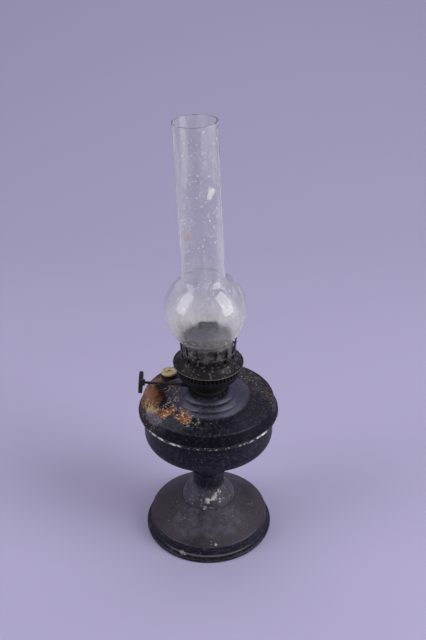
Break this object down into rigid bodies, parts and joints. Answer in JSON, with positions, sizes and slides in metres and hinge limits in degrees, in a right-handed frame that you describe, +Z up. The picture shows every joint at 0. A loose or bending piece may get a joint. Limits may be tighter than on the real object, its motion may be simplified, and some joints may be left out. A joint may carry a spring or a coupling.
{
  "type": "flat-wick kerosene table lamp",
  "caption": "Kerosene table lamp on a flared sheet-metal foot: round font, flat-wick burner with side knob, pierced gallery and tall glass ball chimney.",
  "frame": {"origin": "on the table under the middle of the foot", "axes": "+Z up along the lamp's axis, -X towards the wick knob, -Y towards the viewer of the picture"},
  "size_m": [0.1462, 0.1462, 0.462],
  "materials": {
    "black_paint": "worn black paint",
    "dark_brass": "tarnished nearly black",
    "filler_metal": "corroded cream",
    "washer_leather": "oily",
    "steel": "rusted",
    "wick_cotton": "woven cotton, charred tip",
    "chimney_glass": "clear, dusty"
  },
  "bodies": {
    "lamp_base": {"foot": "black_paint", "stem": "black_paint", "stem_ring": "black_paint", "font_socket": "black_paint", "font_bowl": "black_paint", "font_shoulder": "black_paint", "filler_neck": "filler_metal", "burner_collar": "dark_brass"},
    "filler_seal": {"filler_washer": "washer_leather"},
    "filler_lid": {"filler_cap": "filler_metal"},
    "burner_seal": {"burner_gasket": "washer_leather"},
    "burner": {"burner_ferrule": "dark_brass", "burner_basket": "dark_brass", "air_plate": "dark_brass", "wick_tube": "dark_brass", "sprocket_cover": "dark_brass", "shaft_sleeve": "dark_brass"},
    "wick_raiser": {"raiser_shaft": "steel", "sprocket_wheels": "steel", "raiser_knob": "dark_brass"},
    "wick_ribbon": {"wick": "wick_cotton"},
    "gallery": {"gallery_plate": "dark_brass", "gallery_crown": "dark_brass", "deflector": "dark_brass"},
    "glass": {"chimney": "chimney_glass"}
  },
  "joints": [
    {"name": "filler_cap_rise", "type": "slide", "parent": "lamp_base", "child": "filler_seal", "axis": [0, 0, 1], "range_m": [0, 0.00305]},
    {"name": "filler_cap_turn", "type": "hinge", "parent": "filler_seal", "child": "filler_lid", "pos_m": [-0.04243, 0.03436, 0.17656], "axis": [0, 0, 1], "range_deg": [0, 540]},
    {"name": "burner_rise", "type": "slide", "parent": "lamp_base", "child": "burner_seal", "axis": [0, 0, 1], "range_m": [0, 0.00455]},
    {"name": "burner_turn", "type": "hinge", "parent": "burner_seal", "child": "burner", "pos_m": [0, 0, 0.184], "axis": [0, 0, 1], "range_deg": [0, 900]},
    {"name": "wick_knob_turn", "type": "hinge", "parent": "burner", "child": "wick_raiser", "pos_m": [0, -0.0057, 0.1856], "axis": [0.9976, 0, -0.0698], "range_deg": [-190, 95]},
    {"name": "wick_rise", "type": "slide", "parent": "burner", "child": "wick_ribbon", "axis": [0, 0, 1], "range_m": [-0.01398, 0.00701]},
    {"name": "gallery_lift", "type": "slide", "parent": "burner", "child": "gallery", "axis": [0, 0, 1], "range_m": [0, 0.05]},
    {"name": "chimney_lift", "type": "slide", "parent": "gallery", "child": "glass", "axis": [-0.0454, 0, 0.999], "range_m": [0, 0.06]}
  ],
  "couplings": [
    {"joint": "filler_cap_rise", "follows": "filler_cap_turn", "m_per_rad": 0.00031831},
    {"joint": "burner_rise", "follows": "burner_turn", "m_per_rad": 0.00028648},
    {"joint": "wick_rise", "follows": "wick_knob_turn", "m_per_rad": 0.0042}
  ]
}
